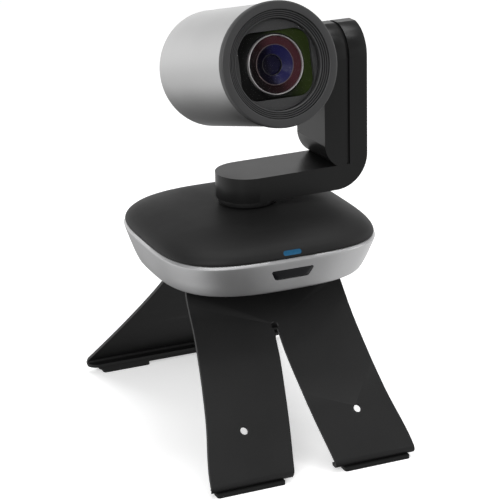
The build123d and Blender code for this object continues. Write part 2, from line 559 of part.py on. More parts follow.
# zoom and focus groups run on the rods
zc = tube_y(12.2, 6.6, -24.0, -16.0)
zc = zc - cyl_y(1.05, -30, 0, -10.3, 0) - cyl_y(1.05, -30, 0, 10.3, 0)
zc = zc + (box(-0.8, 0.8, -22.0, -18.0, -20.4, -11.6))
head["zoom_lens_cell"] = zc
head["zoom_lens"] = lens_solid(6.5, -22.5, 3.4, 1.2, 1.0)
fcg = tube_y(12.2, 5.6, 8.0, 14.0)
fcg = fcg - cyl_y(1.05, 0, 30, -10.3, 0) - cyl_y(1.05, 0, 30, 10.3, 0)
fcg = fcg + (box(-0.8, 0.8, 9.0, 13.0, -20.4, -11.6))
head["focus_lens_cell"] = fcg
head["focus_lens"] = lens_solid(5.5, 9.4, 2.4, 0.9, 0.9)
# linear drives under the lens housing
head["zoom_drive"] = box(-6, 6, -26.0, 3.6, -25.0, -18.6) - box(-1.6, 1.6, -25.0, 2.6, -21.2, -18)
head["focus_drive"] = box(-6, 6, 4.4, 19.4, -25.0, -18.6) - box(-1.6, 1.6, 5.0, 18.6, -21.2, -18)
head["image_sensor"] = box(-6.0, 6.0, 21.0, 22.6, -5.2, 5.2)
head["sensor_board"] = prism_y(rect(-17, 17, -17, 17), [2] * 4, 22.7, 24.3)
head["video_board"] = prism_y(rect(-20, 20, -20, 20), [2] * 4, 30.0, 31.6) + box(-8, 8, 28.2, 30.0, -8, 8)
# frame that carries the lens and the boards
fr = cyl_y(30.4, -36.8, -34.6) - cyl_y(17.7, -38, -33) - cyl_x(9.4, 20, 40, -35.7)
for a in (45, 135, 225, 315):
    xb, zb = 22.0 * cos(radians(a)), 22.0 * sin(radians(a))
    fr = fr + (cyl_y(2.2, -34.7, 29.9, xb, zb) - cyl_y(0.9, 20, 30.5, xb, zb))
for a in (15, 105, 195, 285):
    x, z = 27.9 * cos(radians(a)), 27.9 * sin(radians(a))
    fr = fr - cyl_y(1.3, -38, -33, x, z)
    head["head_front_ring"] = head["head_front_ring"] - cyl_y(1.15, -42.6, -37, x, z)
head["head_frame"] = fr
# boards are notched round the frame's posts
for nm, y0, y1 in (("sensor_board", 22, 25), ("video_board", 29.9, 32)):
    s = head[nm]
    for a in (45, 135, 225, 315):
        xb, zb = 22.0 * cos(radians(a)), 22.0 * sin(radians(a))
        s = s - (cyl_y(2.5, y0, y1, xb, zb) if nm == "sensor_board" else cyl_y(1.2, y0, y1, xb, zb))
    head[nm] = s
scr = None
for a in (15, 105, 195, 285):
    x, z = 27.9 * cos(radians(a)), 27.9 * sin(radians(a))
    s = cyl_y(1.1, -42.4, -34.5, x, z) + cyl_y(2.0, -34.5, -33.3, x, z) - box(x - 1.4, x + 1.4, -33.9, -33, z - .2, z + .2)
    scr = s if scr is None else scr + s
head["head_screws"] = scr
# front ring's screw pillars
# tilt hub: boss outside the shell, flange inside, hollow shaft through the bearing
hubt = cyl_x(15.0, 24.0, ARM_XI - 0.5) - cyl_y(HEAD_R + 0.08, -40, 40)
hubt = hubt + cyl_x(8.9, 27.5, 34.0)
hubt = hubt + cyl_x(4.0, 33.5, 55.4)
hubt = hubt - cyl_x(2.4, 20, 60)
head["tilt_hub"] = hubt
nut = cyl_x(11.5, 25.6, 27.4) - cyl_x(2.4, 20, 60)
head["tilt_hub_plate"] = nut & cyl_y(30.8, -40, 40)

for k, s in head.items():
    nodes[k] = HEAD * s

tg = gear(TILT_M, TILT_ZG, 4.02, TG_X1 - TG_X0, turn=180.0, thin=0.05)
for k in range(5):
    tg = tg - cyl(2.2, -1, 6, 8.4 * cos(k * 2 * pi / 5), 8.4 * sin(k * 2 * pi / 5))
nodes["tilt_gear"] = to_x(tg, TG_X0, 0, TILT_Z)

# --------------------------------------------------------------------- stand
T = SHEET_T
tf = T * sqrt(1 + FRONT_SLOPE ** 2)      # sheet thickness measured along Y
tr = T * sqrt(1 + REAR_SLOPE ** 2)
yf = lambda z: -21.3 - FRONT_SLOPE * (-10.0 - z)     # outer face of the front leaf
yr = lambda z: 16.7 + REAR_SLOPE * (-10.9 - z)       # outer face of the rear leaf
P0, P1 = PLATE_TOP, PLATE_TOP - T
FZ = -98.0                                # underside of the front flange
RZ = -96.0                                # underside of the rear flange
FL, RL = 9.5, 12.5                        # flange depths
outline = [(yf(FZ) + FL, FZ), (yf(FZ) + 0.0, FZ), (yf(P0), P0), (yr(P0), P0), (yr(RZ), RZ), (yr(RZ) - RL, RZ),
           (yr(RZ) - RL, RZ + T), (yr(RZ + T) - tr, RZ + T), (yr(P1) - tr, P1), (yf(P1) + tf, P1),
           (yf(FZ + T) + tf, FZ + T), (yf(FZ) + FL, FZ + T)]
radii = [0, 3.2, 3.4, 3.4, 3.2, 0, 0, 1.2, 1.4, 1.4, 1.2, 0]
sheet = prism_x(outline, radii, -75, 75)


def width_prism(samples, y0, y1, corner=None):
    """Prism along Y whose half-width follows samples of (z, half-width)."""
    zs = sorted(samples)
    right = [Vector(hw, y0, z) for z, hw in zs]
    left = [Vector(-hw, y0, z) for z, hw in zs]
    e = [Edge.make_spline(right), Edge.make_line(right[-1], left[-1]),
         Edge.make_spline(list(reversed(left))), Edge.make_line(left[0], right[0])]
    return Solid.extrude(Face(Wire(e)), Vector(0, y1 - y0, 0))


front_clip = width_prism([(0.0, 45.0)] + FRONT_HW, -110, 0)
rear_hw = [(0.0, 45.0), (-2.0, 45.0)] + [(z, 45.3 + (REAR_FOOT_HW - 45.3) * (max(0, -z - 4) / 90.0) ** 1.35)
                                         for z in (-10, -20, -30, -40, -50, -60, -70, -80, -88, -94, -98, -102)]
rear_clip = width_prism(rear_hw, 0, 130)
front_leaf = sheet & front_clip
rear_leaf = sheet & rear_clip
bracket = front_leaf + rear_leaf
# slot between the front legs with its round relief hole
sl = sorted(SLOT_HW)
right = [Vector(hw, -120, z) for z, hw in sl]
left = [Vector(-hw, -120, z) for z, hw in sl]
slot = Solid.extrude(Face(Wire([Edge.make_spline(right), Edge.make_line(right[-1], left[-1]),
                                Edge.make_spline(list(reversed(left))), Edge.make_line(left[0], right[0])])),
                     Vector(0, 115, 0))
bracket = bracket - slot
# holes square to the front leaf
fn = Vector(0, -1, FRONT_SLOPE).normalized()
fn = Vector(0, -1 / sqrt(1 + FRONT_SLOPE ** 2), FRONT_SLOPE / sqrt(1 + FRONT_SLOPE ** 2))
for x, z in ((0.0, -28.7), (-34.3, -72.0), (34.3, -72.0)):
    c = Vector(x, yf(z), z)
    bracket = bracket - extrude(Plane(origin=c + fn * 6, z_dir=fn * -1) * Circle(HOLE_R), 14)
bracket = bracket - cyl(3.5, P1 - 1, P0 + 1, 0, TRIPOD_Y)
# rounded lower corners of the feet
def corner_cut(x, y_a, y_b, z, r, sx):
    sq = prism_y([(x - sx * r, z - 3), (x + sx * 4, z - 3), (x + sx * 4, z + r), (x - sx * r, z + r)], [0] * 4, y_a, y_b)
    return sq - cyl_y(r, y_a - 1, y_b + 1, x - sx * r, z + r)
for sx in (-1, 1):
    # plan-view rounding of the flange tips
    yt = yr(RZ) - RL
    xe = sx * (REAR_FOOT_HW - 0.1)
    sq = box(min(xe - sx * 7, xe + sx * 4), max(xe - sx * 7, xe + sx * 4), yt - 2, yt + 7, RZ - 1, RZ + T + 0.4)
    sq = sq - cyl(7, RZ - 2, RZ + T + 2, xe - sx * 7, yt + 7)
    bracket = bracket - sq
    yt = yf(FZ) + FL
    xe = sx * 60.9
    sq = box(min(xe - sx * 5, xe + sx * 4), max(xe - sx * 5, xe + sx * 4), yt - 5, yt + 2, FZ - 1, FZ + T + 0.4)
    sq = sq - cyl(5, FZ - 2, FZ + T + 2, xe - sx * 5, yt - 5)
    bracket = bracket - sq
nodes["stand_bracket"] = bracket

# rubber pads under the flanges
pf = None
for sx in (-1, 1):
    x0, x1 = sorted((sx * 18.0, sx * 58.0))
    p = prism_z(rect(x0, x1, yf(FZ) + 2.6, yf(FZ) + FL + 0.4), [1.5] * 4, -100.0, FZ)
    pf = p if pf is None else pf + p
nodes["front_pads"] = pf
ry1 = yr(RZ) - 2.8
ry0 = yr(RZ) - RL - 0.2
strip = prism_z(rect(-60.0, 60.0, ry0, ry1), [2.0] * 4, RZ - 1.6, RZ)
for sx in (-1, 1):
    x0, x1 = sorted((sx * 27.0, sx * 57.5))
    strip = strip + prism_z(rect(x0, x1, ry0, ry1), [1.8] * 4, -100.0, RZ - 1.6)
nodes["rear_pad"] = strip

# tripod thumb screw and its washer
nodes["thumb_screw_washer"] = cyl(6.6, P1 - 1.2, P1, 0, TRIPOD_Y) - cyl(3.4, P1 - 2, P1 + 1, 0, TRIPOD_Y)
ts = cyl(3.05, P1 - 1.2, 5.5, 0, TRIPOD_Y) + cyl(8.0, P1 - 7.2, P1 - 2.2, 0, TRIPOD_Y) + cyl(5.0, P1 - 2.2, P1 - 1.2, 0, TRIPOD_Y)
for k in range(12):
    a = 2 * pi * k / 12
    ts = ts - cyl(0.9, P1 - 8, P1 - 2.1, 8.3 * cos(a), TRIPOD_Y + 8.3 * sin(a))
ts = ts - box(-6, 6, TRIPOD_Y - 0.7, TRIPOD_Y + 0.7, P1 - 8, P1 - 6.0)
nodes["tripod_thumb_screw"] = ts

# ------------------------------------------------------------- pan at rest
TURNED = ["pan_hub", "pan_hub_clip", "pan_gear", "arm_outer_shell", "arm_bottom_cover", "arm_screws", "arm_inner_housing",
          "tilt_bearing", "tilt_motor_bracket", "tilt_motor", "tilt_pinion", "tilt_gear", "head_shell", "head_front_ring",
          "front_window", "lens_baffle", "lens_housing", "lens_retaining_ring", "front_lens", "second_lens_cell",
          "second_lens", "guide_rods", "zoom_drive", "focus_drive", "image_sensor", "sensor_board", "video_board",
          "head_frame", "head_screws", "tilt_hub", "tilt_hub_plate", "zoom_lens_cell", "zoom_lens", "focus_lens_cell",
          "focus_lens"]
for k in TURNED:
    nodes[k] = Rot(0, 0, PAN_REST) * nodes[k]
# the pan pinion turns back by the tooth ratio, so that it stays in mesh
pxc, pyc = PAN_C * cos(radians(PAN_MOTOR_ANG)), PAN_C * sin(radians(PAN_MOTOR_ANG))
nodes["pan_pinion"] = Pos(pxc, pyc, 0) * Rot(0, 0, -PAN_REST * PAN_ZG / PAN_ZP) * Pos(-pxc, -pyc, 0) * nodes["pan_pinion"]

# --------------------------------------------------------------- table frame
bb = None
for k, s in nodes.items():
    b = s.bounding_box()
    if bb is None:
        bb = [b.min.X, b.max.X, b.min.Y, b.max.Y, b.min.Z, b.max.Z]
    else:
        bb = [min(bb[0], b.min.X), max(bb[1], b.max.X), min(bb[2], b.min.Y), max(bb[3], b.max.Y),
              min(bb[4], b.min.Z), max(bb[5], b.max.Z)]
print("working box", [round(v, 3) for v in bb])
SHIFT_X, SHIFT_Y, SHIFT_Z = 0.0, -10.5, STAND_H
print("centre", (bb[0] + bb[1]) / 2, (bb[2] + bb[3]) / 2, bb[4])
for k, s in nodes.items():
    out = Pos(SHIFT_X, SHIFT_Y, SHIFT_Z) * s
    sol = out.solids()
    out = sol[0] if len(sol) == 1 else Compound(children=list(sol))
    export_step(out, "parts/" + k + ".step")
print(len(nodes), "nodes")
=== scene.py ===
import bpy
import bmesh
import json
import math
from mathutils import Vector, Matrix
from math import sin, cos, pi, radians, sqrt


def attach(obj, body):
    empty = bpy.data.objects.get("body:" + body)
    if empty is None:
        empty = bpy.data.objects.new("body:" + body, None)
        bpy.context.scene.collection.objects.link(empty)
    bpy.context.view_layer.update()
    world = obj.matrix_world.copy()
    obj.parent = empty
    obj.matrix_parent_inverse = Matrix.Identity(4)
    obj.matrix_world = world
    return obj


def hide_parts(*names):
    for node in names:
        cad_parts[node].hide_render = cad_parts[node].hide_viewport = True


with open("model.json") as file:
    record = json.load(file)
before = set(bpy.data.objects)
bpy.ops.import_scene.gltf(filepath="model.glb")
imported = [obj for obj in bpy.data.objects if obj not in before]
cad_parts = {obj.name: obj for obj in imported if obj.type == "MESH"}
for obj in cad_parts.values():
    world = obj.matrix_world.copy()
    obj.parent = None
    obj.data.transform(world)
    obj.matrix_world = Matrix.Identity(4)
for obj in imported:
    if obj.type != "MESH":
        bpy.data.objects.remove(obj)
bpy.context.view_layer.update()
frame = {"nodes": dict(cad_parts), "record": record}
NODES = frame["nodes"]
OY, OZ = -10.5, 100.0           # working frame (pan axis, base underside) to the table frame, mm
TILT_Z = 112.17
HEAD_TILT = 13.82
PAN_REST = 1.886

# ------------------------------------------------------------------ camera
def vec(*v):
    return Vector(v)


AZ, EL, ROLL = radians(-22.47), radians(19.67), radians(-1.4)
back = vec(sin(AZ) * cos(EL), -cos(AZ) * cos(EL), sin(EL))
right = vec(cos(AZ), sin(AZ), 0)
up = back.cross(right)
pos = right * 0.96 + up * 4.16 + back * 1116.94
R = right * cos(ROLL) + up * sin(ROLL)
U = right * -sin(ROLL) + up * cos(ROLL)
B = R.cross(U)
cam_data = bpy.data.cameras.new("view_camera")
cam = bpy.data.objects.new("view_camera", cam_data)
bpy.context.scene.collection.objects.link(cam)
cam_data.sensor_width = 36.0
cam_data.sensor_fit = "HORIZONTAL"
cam_data.lens = 1953.81 / 500.0 * 36.0
cam_data.clip_start = 0.01
cam_data.clip_end = 50.0
P = (pos + vec(0, OY, OZ)) / 1000.0
m = Matrix(((R.x, U.x, B.x, P.x), (R.y, U.y, B.y, P.y), (R.z, U.z, B.z, P.z), (0, 0, 0, 1)))
cam.matrix_world = m
bpy.context.scene.camera = cam
bpy.context.scene.view_settings.view_transform = "Standard"

# --------------------------------------------------------------- materials
def new_mat(name):
    mt = bpy.data.materials.new(name)
    mt.use_nodes = True
    nt = mt.node_tree
    for n in list(nt.nodes):
        nt.nodes.remove(n)
    out = nt.nodes.new("ShaderNodeOutputMaterial")
    b = nt.nodes.new("ShaderNodeBsdfPrincipled")
    nt.links.new(b.outputs["BSDF"], out.inputs["Surface"])
    tc = nt.nodes.new("ShaderNodeTexCoord")
    return mt, nt, b, tc


def noise(nt, tc, scale, detail=3.0, rough=0.55, stretch=None):
    n = nt.nodes.new("ShaderNodeTexNoise")
    n.inputs["Scale"].default_value = scale
    n.inputs["Detail"].default_value = detail
    n.inputs["Roughness"].default_value = rough
    src = tc.outputs["Object"]
    if stretch:
        mp = nt.nodes.new("ShaderNodeMapping")
        mp.inputs["Scale"].default_value = stretch
        nt.links.new(src, mp.inputs["Vector"])
        src = mp.outputs["Vector"]
    nt.links.new(src, n.inputs["Vector"])
    return n


def ramp(nt, fac, stops):
    r = nt.nodes.new("ShaderNodeValToRGB")
    el = r.color_ramp.elements
    while len(el) < len(stops):
        el.new(0.5)
    for e, (p, c) in zip(el, stops):
        e.position = p
        e.color = (c[0], c[1], c[2], 1.0) if len(c) == 3 else c
    nt.links.new(fac, r.inputs["Fac"])
    return r


def mul(c, k):
    return tuple(min(1.0, v * k) for v in c[:3])


def surface(name, base, rough, metal=0.0, var=0.10, cs=60.0, rv=0.06, grain=900.0, bump=0.02, bd=0.00008,
            spec=0.5, coat=0.0, coat_r=0.1, edge_lighten=0.0, edge_lighten_col=None, stretch=None, aniso=0.0, specks=0.0):
    mt, nt, b, tc = new_mat(name)
    b.inputs["Metallic"].default_value = metal
    b.inputs["Specular IOR Level"].default_value = spec
    b.inputs["Coat Weight"].default_value = coat
    b.inputs["Coat Roughness"].default_value = coat_r
    if aniso:
        b.inputs["Anisotropic"].default_value = aniso
    big = noise(nt, tc, cs, 4.0, 0.6, stretch)
    fine = noise(nt, tc, grain, 3.0, 0.6, stretch)
    col = ramp(nt, big.outputs["Fac"], [(0.25, mul(base, 1 - var)), (0.75, mul(base, 1 + var))])
    src = col.outputs["Color"]
    if specks:
        sp = ramp(nt, fine.outputs["Fac"], [(0.42, (1 - specks,) * 3), (0.62, (1 + specks,) * 3)])
        mx = nt.nodes.new("ShaderNodeMix")
        mx.data_type = "RGBA"
        mx.blend_type = "MULTIPLY"
        mx.inputs[0].default_value = 1.0
        nt.links.new(src, mx.inputs[6])
        nt.links.new(sp.outputs["Color"], mx.inputs[7])
        src = mx.outputs[2]
    # lighter colour on sharp convex edges, driven by pointiness
    if edge_lighten:
        geo = nt.nodes.new("ShaderNodeNewGeometry")
        edge_mask = ramp(nt, geo.outputs["Pointiness"], [(0.53, (0, 0, 0)), (0.62, (edge_lighten, edge_lighten, edge_lighten))])
        mx = nt.nodes.new("ShaderNodeMix")
        mx.data_type = "RGBA"
        nt.links.new(edge_mask.outputs["Color"], mx.inputs[0])
        nt.links.new(src, mx.inputs[6])
        mx.inputs[7].default_value = (*(edge_lighten_col or mul(base, 3)), 1)
        src = mx.outputs[2]
    nt.links.new(src, b.inputs["Base Color"])
    rr = nt.nodes.new("ShaderNodeMapRange")
    rr.inputs["From Min"].default_value = 0.3
    rr.inputs["From Max"].default_value = 0.7
    rr.inputs["To Min"].default_value = max(0.02, rough - rv)
    rr.inputs["To Max"].default_value = min(1.0, rough + rv)
    nt.links.new(big.outputs["Fac"], rr.inputs["Value"])
    nt.links.new(rr.outputs["Result"], b.inputs["Roughness"])
    if bump:
        bp = nt.nodes.new("ShaderNodeBump")
        bp.inputs["Strength"].default_value = bump
        bp.inputs["Distance"].default_value = bd
        nt.links.new(fine.outputs["Fac"], bp.inputs["Height"])
        nt.links.new(bp.outputs["Normal"], b.inputs["Normal"])
    return mt


M = {}
M["silver_barrel"] = surface("silver_barrel", (0.50, 0.50, 0.50), 0.34, metal=0.92, var=0.02, cs=25, rv=0.03,
                             grain=5200, bump=0.10, bd=0.00003, specks=0.035, coat=0.15, coat_r=0.35)
M["silver_body"] = surface("silver_body", (0.57, 0.57, 0.575), 0.40, metal=0.80, var=0.03, cs=30, rv=0.03,
                           grain=5200, bump=0.10, bd=0.00003, specks=0.04, coat=0.12, coat_r=0.35)
M["charcoal_cover"] = surface("charcoal_cover", (0.015, 0.015, 0.015), 0.56, var=0.04, cs=40, rv=0.04,
                              grain=3600, bump=0.25, bd=0.00004, specks=0.10, spec=0.24)
M["arm_black"] = surface("arm_black", (0.0115, 0.0115, 0.0115), 0.30, var=0.04, cs=45, rv=0.02, grain=5200, bump=0.05,
                         bd=0.00002, spec=0.30, specks=0.03)
M["ring_black"] = surface("ring_black", (0.040, 0.040, 0.041), 0.46, var=0.05, cs=60, rv=0.04, grain=4200, bump=0.20,
                          bd=0.00003, specks=0.08)
M["baffle_black"] = surface("baffle_black", (0.009, 0.009, 0.0095), 0.42, var=0.12, cs=120, rv=0.06, grain=3800, bump=0.15,
                            bd=0.00004)
M["black_plastic"] = surface("black_plastic", (0.018, 0.018, 0.018), 0.5, var=0.1, grain=3000, bump=0.2, bd=0.00004)
M["dark_plastic"] = surface("dark_plastic", (0.022, 0.022, 0.023), 0.42, var=0.1, grain=3000, bump=0.2, bd=0.00004)
# stand_black is lighter on its sharp convex edges
M["stand_black"] = surface("stand_black", (0.0115, 0.0115, 0.0117), 0.50, var=0.10, cs=22, rv=0.05, grain=2600, bump=0.35,
                           bd=0.00006, specks=0.14, spec=0.34, edge_lighten=0.12, edge_lighten_col=(0.10, 0.10, 0.10))
M["rubber"] = surface("rubber", (0.012, 0.012, 0.012), 0.78, var=0.15, grain=2200, bump=0.4, bd=0.00008, spec=0.3)
M["ir_window"] = surface("ir_window", (0.006, 0.006, 0.008), 0.12, var=0.15, grain=400, bump=0.01, rv=0.03, spec=0.6)
M["chip_black"] = surface("chip_black", (0.02, 0.02, 0.021), 0.5, var=0.15, grain=2500, bump=0.2)
M["board_green"] = surface("board_green", (0.015, 0.12, 0.045), 0.35, var=0.3, cs=250, grain=900, bump=0.3, coat=0.3)
M["brass"] = surface("brass", (0.72, 0.50, 0.22), 0.28, metal=1.0, var=0.08, grain=1500, bump=0.1)
M["steel_screw"] = surface("steel_screw", (0.55, 0.55, 0.57), 0.30, metal=1.0, var=0.08, grain=1800, bump=0.1)
M["steel_dark"] = surface("steel_dark", (0.045, 0.045, 0.048), 0.38, metal=0.6, var=0.15, grain=1800, bump=0.15)
M["steel_plate"] = surface("steel_plate", (0.52, 0.52, 0.53), 0.38, metal=1.0, var=0.08, grain=900, bump=0.15, stretch=(1, 12, 12))
M["bearing_steel"] = surface("bearing_steel", (0.66, 0.66, 0.67), 0.16, metal=1.0, var=0.05, grain=900, bump=0.05)
M["motor_case"] = surface("motor_case", (0.46, 0.46, 0.47), 0.34, metal=1.0, var=0.08, grain=900, bump=0.1, stretch=(12, 12, 1))
M["gear_pom"] = surface("gear_pom", (0.72, 0.70, 0.64), 0.42, var=0.05, grain=2000, bump=0.1)
M["connector_metal"] = surface("connector_metal", (0.60, 0.60, 0.60), 0.28, metal=1.0, var=0.06, grain=900, bump=0.08)
M["lens_ring"] = surface("lens_ring", (0.62, 0.60, 0.60), 0.32, metal=0.4, var=0.06, cs=200, grain=3000, bump=0.05)
M["cell_ring"] = surface("cell_ring", (0.17, 0.13, 0.13), 0.34, metal=0.4, var=0.06, cs=200, grain=3000, bump=0.05)
M["sensor_silicon"] = surface("sensor_silicon", (0.10, 0.07, 0.14), 0.12, metal=0.4, var=0.2, grain=900, bump=0.02)


def glass(name, tint, alpha, rough=0.03, spec=0.8):
    mt, nt, b, tc = new_mat(name)
    n = noise(nt, tc, 90, 2.0)
    c = ramp(nt, n.outputs["Fac"], [(0.3, mul(tint, 0.92)), (0.7, mul(tint, 1.08))])
    nt.links.new(c.outputs["Color"], b.inputs["Base Color"])
    r = nt.nodes.new("ShaderNodeMapRange")
    r.inputs["To Min"].default_value = rough * 0.7
    r.inputs["To Max"].default_value = rough * 1.3
    nt.links.new(n.outputs["Fac"], r.inputs["Value"])
    nt.links.new(r.outputs["Result"], b.inputs["Roughness"])
    b.inputs["Alpha"].default_value = alpha
    b.inputs["Specular IOR Level"].default_value = spec
    return mt


M["window_glass"] = glass("window_glass", (0.002, 0.002, 0.002), 0.03, 0.02, 0.20)
M["lens_glass"] = glass("lens_glass", (0.004, 0.002, 0.007), 0.05, 0.02, 0.25)

mt, nt, b, tc = new_mat("led_blue")
n = noise(nt, tc, 300, 2.0)
c = ramp(nt, n.outputs["Fac"], [(0.3, (0.004, 0.040, 0.085)), (0.7, (0.006, 0.054, 0.110))])
nt.links.new(c.outputs["Color"], b.inputs["Base Color"])
nt.links.new(c.outputs["Color"], b.inputs["Emission Color"])
b.inputs["Emission Strength"].default_value = 1.0
b.inputs["Roughness"].default_value = 0.25
M["led_blue"] = mt


def coating_with_painted_reflection(name, left, mid, rightc, rough=0.25, width=16.0, shift=0.0, vert=0.25):
    """Lens coating tint with a painted coloured reflection: dark on the head's -X side, brightest towards +X and up
    (along the head's own X and Z).
    """
    mt, nt, b, tc = new_mat(name)
    sep = nt.nodes.new("ShaderNodeSeparateXYZ")
    nt.links.new(tc.outputs["Object"], sep.inputs["Vector"])
    ma = nt.nodes.new("ShaderNodeMath")
    ma.operation = "MULTIPLY_ADD"
    ma.inputs[1].default_value = vert
    nt.links.new(sep.outputs["Z"], ma.inputs[0])
    nt.links.new(sep.outputs["X"], ma.inputs[2])
    nz = noise(nt, tc, 60, 2.0)
    ad = nt.nodes.new("ShaderNodeMath")
    ad.operation = "MULTIPLY_ADD"
    ad.inputs[1].default_value = 0.004
    nt.links.new(nz.outputs["Fac"], ad.inputs[0])
    nt.links.new(ma.outputs[0], ad.inputs[2])
    zc = (TILT_Z + OZ) / 1000.0 * vert
    mr = nt.nodes.new("ShaderNodeMapRange")
    mr.inputs["From Min"].default_value = (-width + shift) / 1000.0 + zc
    mr.inputs["From Max"].default_value = (width + shift) / 1000.0 + zc
    nt.links.new(ad.outputs[0], mr.inputs["Value"])
    c = ramp(nt, mr.outputs["Result"], [(0.30, left), (0.62, mid), (0.92, rightc)])
    nt.links.new(c.outputs["Color"], b.inputs["Base Color"])
    rr = nt.nodes.new("ShaderNodeMapRange")
    rr.inputs["To Min"].default_value = rough * 0.8
    rr.inputs["To Max"].default_value = rough * 1.2
    nt.links.new(nz.outputs["Fac"], rr.inputs["Value"])
    nt.links.new(rr.outputs["Result"], b.inputs["Roughness"])
    b.inputs["Specular IOR Level"].default_value = 0.12
    return mt


# coat_* materials: the coatings' own tints, with a painted reflection that brightens them towards the head's +X side
# and up
M["coat_outer"] = coating_with_painted_reflection("coat_outer", (0.002, 0.002, 0.002), (0.005, 0.006, 0.004), (0.028, 0.042, 0.010), 0.3, 20, 2, 0.35)
M["coat_maroon"] = coating_with_painted_reflection("coat_maroon", (0.004, 0.002, 0.002), (0.018, 0.006, 0.007), (0.070, 0.020, 0.026), 0.3, 15, 1, 0.5)
M["coat_blue"] = coating_with_painted_reflection("coat_blue", (0.002, 0.0015, 0.004), (0.004, 0.003, 0.012), (0.017, 0.016, 0.088), 0.3, 9, 0, 0.2)
M["coat_core"] = coating_with_painted_reflection("coat_core", (0.003, 0.002, 0.005), (0.004, 0.003, 0.010), (0.008, 0.007, 0.028), 0.2, 6, 0, 0.2)

# ------------------------------------------------------------- mesh helpers
HEADM = (Matrix.Translation(Vector((0, OY, TILT_Z + OZ))) @ Matrix.Rotation(radians(PAN_REST), 4, "Z")
         @ Matrix.Rotation(radians(-HEAD_TILT), 4, "X"))
BASEM = Matrix.Translation(Vector((0, OY, OZ)))
MM = Matrix.Scale(0.001, 4)


def make(name, verts, faces, mat, body, repl=(), xf=BASEM, sharp=35.0):
    me = bpy.data.meshes.new(name)
    me.from_pydata([tuple(MM @ (xf @ Vector(v))) for v in verts], [], faces)
    bm = bmesh.new()
    bm.from_mesh(me)
    bmesh.ops.remove_doubles(bm, verts=bm.verts, dist=1e-7)
    bmesh.ops.recalc_face_normals(bm, faces=bm.faces)
    bm.to_mesh(me)
    bm.free()
    for p in me.polygons:
        p.use_smooth = True
    if sharp:
        me.set_sharp_from_angle(angle=radians(sharp))
    ob = bpy.data.objects.new(name, me)
    bpy.context.scene.collection.objects.link(ob)
    me.materials.append(M[mat])
    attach(ob, body)
    if repl:
        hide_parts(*repl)
    return ob


def lathe(name, prof, mat, body, repl=(), xf=HEADM, segs=160, sharp=35.0, axis="y"):
    """Closed (r, y) outline turned about the local Y (or Z) axis."""
    verts, faces, idx = [], [], []
    for r, y in prof:
        if r < 1e-6:
            idx.append([len(verts)] * segs)
            verts.append((0, y, 0) if axis == "y" else (0, 0, y))
        else:
            row = []
            for k in range(segs):
                a = 2 * pi * k / segs
                row.append(len(verts))
                verts.append((r * cos(a), y, r * sin(a)) if axis == "y" else (r * cos(a), r * sin(a), y))
            idx.append(row)
    n = len(prof)
    for i in range(n):
        j = (i + 1) % n
        if prof[i][0] < 1e-6 and prof[j][0] < 1e-6:
            continue
        for k in range(segs):
            q = [idx[i][k], idx[i][(k + 1) % segs], idx[j][(k + 1) % segs], idx[j][k]]
            q = [v for t, v in enumerate(q) if v not in q[:t]]
            if len(q) > 2:
                faces.append(q)
    return make(name, verts, faces, mat, body, repl, xf, sharp)


def se_ring(a, n, z, count):
    row = []
    for i in range(count):
        t = 2 * pi * i / count
        r = a / (abs(cos(t)) ** n + abs(sin(t)) ** n) ** (1 / n)
        row.append((r * cos(t), r * sin(t), z))
    return row


def catmull(pts, sub):
    """Smooth open curve through points of any dimension."""
    out = []
    n = len(pts)
    for i in range(n - 1):
        p0 = pts[max(0, i - 1)]
        p1, p2 = pts[i], pts[i + 1]
        p3 = pts[min(n - 1, i + 2)]
        for k in range(sub):
            t = k / sub
            out.append(tuple(0.5 * (2 * b + (c - a) * t + (2 * a - 5 * b + 4 * c - d) * t * t
                                    + (-a + 3 * b - 3 * c + d) * t ** 3)
                             for a, b, c, d in zip(p0, p1, p2, p3)))
    out.append(tuple(pts[-1]))
    return out


def se_shell(name, outer, inner, mat, body, repl, count=192, sharp=35.0):
    """Shell between an outer stack of superellipse rings and an inner one, joined at both ends."""
    rings = outer + list(reversed(inner))
    verts, faces = [], []
    for a, n, z in rings:
        verts += se_ring(a, n, z, count)
    m_ = len(rings)
    for i in range(m_):
        j = (i + 1) % m_
        for k in range(count):
            faces.append((i * count + k, i * count + (k + 1) % count, j * count + (k + 1) % count, j * count + k))
    return make(name, verts, faces, mat, body, repl, BASEM, sharp)


def bool_cut(ob, cutters):
    for c in cutters:
        md = ob.modifiers.new("cut", "BOOLEAN")
        md.operation = "DIFFERENCE"
        md.solver = "EXACT"
        md.object = c
    bpy.context.view_layer.update()
    dg = bpy.context.evaluated_depsgraph_get()
    me = bpy.data.meshes.new_from_object(ob.evaluated_get(dg))
    ob.modifiers.clear()
    old = ob.data
    ob.data = me
    bpy.data.meshes.remove(old)
    for c in cutters:
        bpy.data.objects.remove(c)
    for p in ob.data.polygons:
        p.use_smooth = True
    ob.data.set_sharp_from_angle(angle=radians(30))


def plain(name, verts, faces, xf=BASEM):
    me = bpy.data.meshes.new(name)
    me.from_pydata([tuple(MM @ (xf @ Vector(v))) for v in verts], [], faces)
    bm = bmesh.new()
    bm.from_mesh(me)
    bmesh.ops.recalc_face_normals(bm, faces=bm.faces)
    bm.to_mesh(me)
    bm.free()
    ob = bpy.data.objects.new(name, me)
    bpy.context.scene.collection.objects.link(ob)
    return ob


